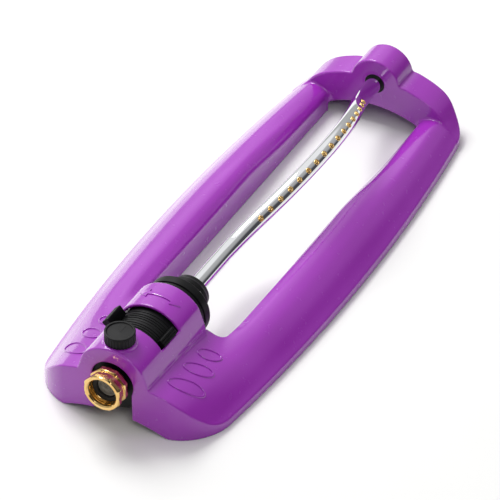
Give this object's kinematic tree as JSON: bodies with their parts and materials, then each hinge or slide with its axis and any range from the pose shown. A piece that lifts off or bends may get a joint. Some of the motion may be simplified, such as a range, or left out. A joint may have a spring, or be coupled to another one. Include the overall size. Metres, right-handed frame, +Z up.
{
  "type": "oscillating lawn sprinkler",
  "caption": "Oscillating lawn sprinkler: ring-shaped painted base, water motor in the front tunnel, swivel hose nut and an arched chrome spray tube with brass nozzles.",
  "frame": {"origin": "on the ground, below the middle of the whole part", "axes": "+X to the right seen from the inlet, +Y from the inlet to the rear along the swing axis, +Z up"},
  "size_m": [0.198, 0.529, 0.0885],
  "materials": {
    "purple_paint": "high gloss enamel",
    "black_plastic": "satin moulded",
    "black_rubber": "matt",
    "white_plastic": "satin acetal",
    "brass": "polished",
    "chrome": "mirror",
    "steel": "bright zinc",
    "filter_mesh": "woven wire"
  },
  "bodies": {
    "base": {"base_frame": "purple_paint", "inlet_tailpiece": "black_plastic", "hose_washer": "black_rubber", "inlet_filter": "filter_mesh", "housing_front": "black_plastic", "housing_rear": "black_plastic", "case_screws": "steel", "bearing_plate": "black_plastic", "gear_plate": "black_plastic", "lay_arbor": "steel", "shaft_seal": "black_rubber", "retaining_strap": "steel", "strap_screws": "steel", "pivot_bush": "black_plastic"},
    "inlet_nut": {"swivel_nut": "brass"},
    "flow_valve": {"flow_knob": "black_plastic", "valve_plug": "white_plastic"},
    "range_left": {"range_ring_left": "black_plastic"},
    "range_right": {"range_ring_right": "black_plastic"},
    "turbine": {"turbine_wheel": "white_plastic", "turbine_shaft": "steel"},
    "idler_1": {"gear_1": "white_plastic"},
    "idler_2": {"gear_2": "white_plastic"},
    "idler_3": {"gear_3": "white_plastic"},
    "tube": {"output_shaft": "black_plastic", "tube_collar": "black_plastic", "spray_tube": "chrome", "spray_nozzles": "brass", "tube_plug": "black_plastic", "plug_ring": "black_rubber"}
  },
  "joints": [
    {"name": "inlet_swivel", "type": "hinge", "parent": "base", "child": "inlet_nut", "pos_m": [0, -0.25655, 0.0447], "axis": [0, 1, 0], "continuous": true},
    {"name": "flow_turn", "type": "hinge", "parent": "base", "child": "flow_valve", "pos_m": [0, -0.23205, 0.0447], "axis": [0, 0, 1], "range_deg": [0, 90]},
    {"name": "range_left_slide", "type": "hinge", "parent": "base", "child": "range_left", "pos_m": [0, -0.20355, 0.0447], "axis": [0, 1, 0], "range_deg": [-4, 40]},
    {"name": "range_right_slide", "type": "hinge", "parent": "base", "child": "range_right", "pos_m": [0, -0.19155, 0.0447], "axis": [0, 1, 0], "range_deg": [-44, 0]},
    {"name": "tube_swing", "type": "hinge", "parent": "base", "child": "tube", "pos_m": [0, -0.12755, 0.0447], "axis": [0, 1, 0], "range_deg": [-101, 19]},
    {"name": "idler_3_spin", "type": "hinge", "parent": "base", "child": "idler_3", "pos_m": [0.01348, -0.17755, 0.0447], "axis": [0, 1, 0], "range_deg": [-48.5, 253.5]},
    {"name": "idler_2_spin", "type": "hinge", "parent": "base", "child": "idler_2", "pos_m": [0, -0.18255, 0.0447], "axis": [0, 1, 0], "range_deg": [-632.25, 119.75]},
    {"name": "idler_1_spin", "type": "hinge", "parent": "base", "child": "idler_1", "pos_m": [0.01348, -0.18755, 0.0447], "axis": [0, 1, 0], "range_deg": [-297.88, 1579.12]},
    {"name": "turbine_spin", "type": "hinge", "parent": "base", "child": "turbine", "pos_m": [0, -0.20255, 0.0447], "axis": [0, 1, 0], "range_deg": [-3946.31, 743.19]}
  ],
  "couplings": [
    {"joint": "idler_3_spin", "follows": "tube_swing", "ratio": -2.5},
    {"joint": "idler_2_spin", "follows": "tube_swing", "ratio": 6.25},
    {"joint": "idler_1_spin", "follows": "tube_swing", "ratio": -15.625},
    {"joint": "turbine_spin", "follows": "tube_swing", "ratio": 39.062}
  ]
}
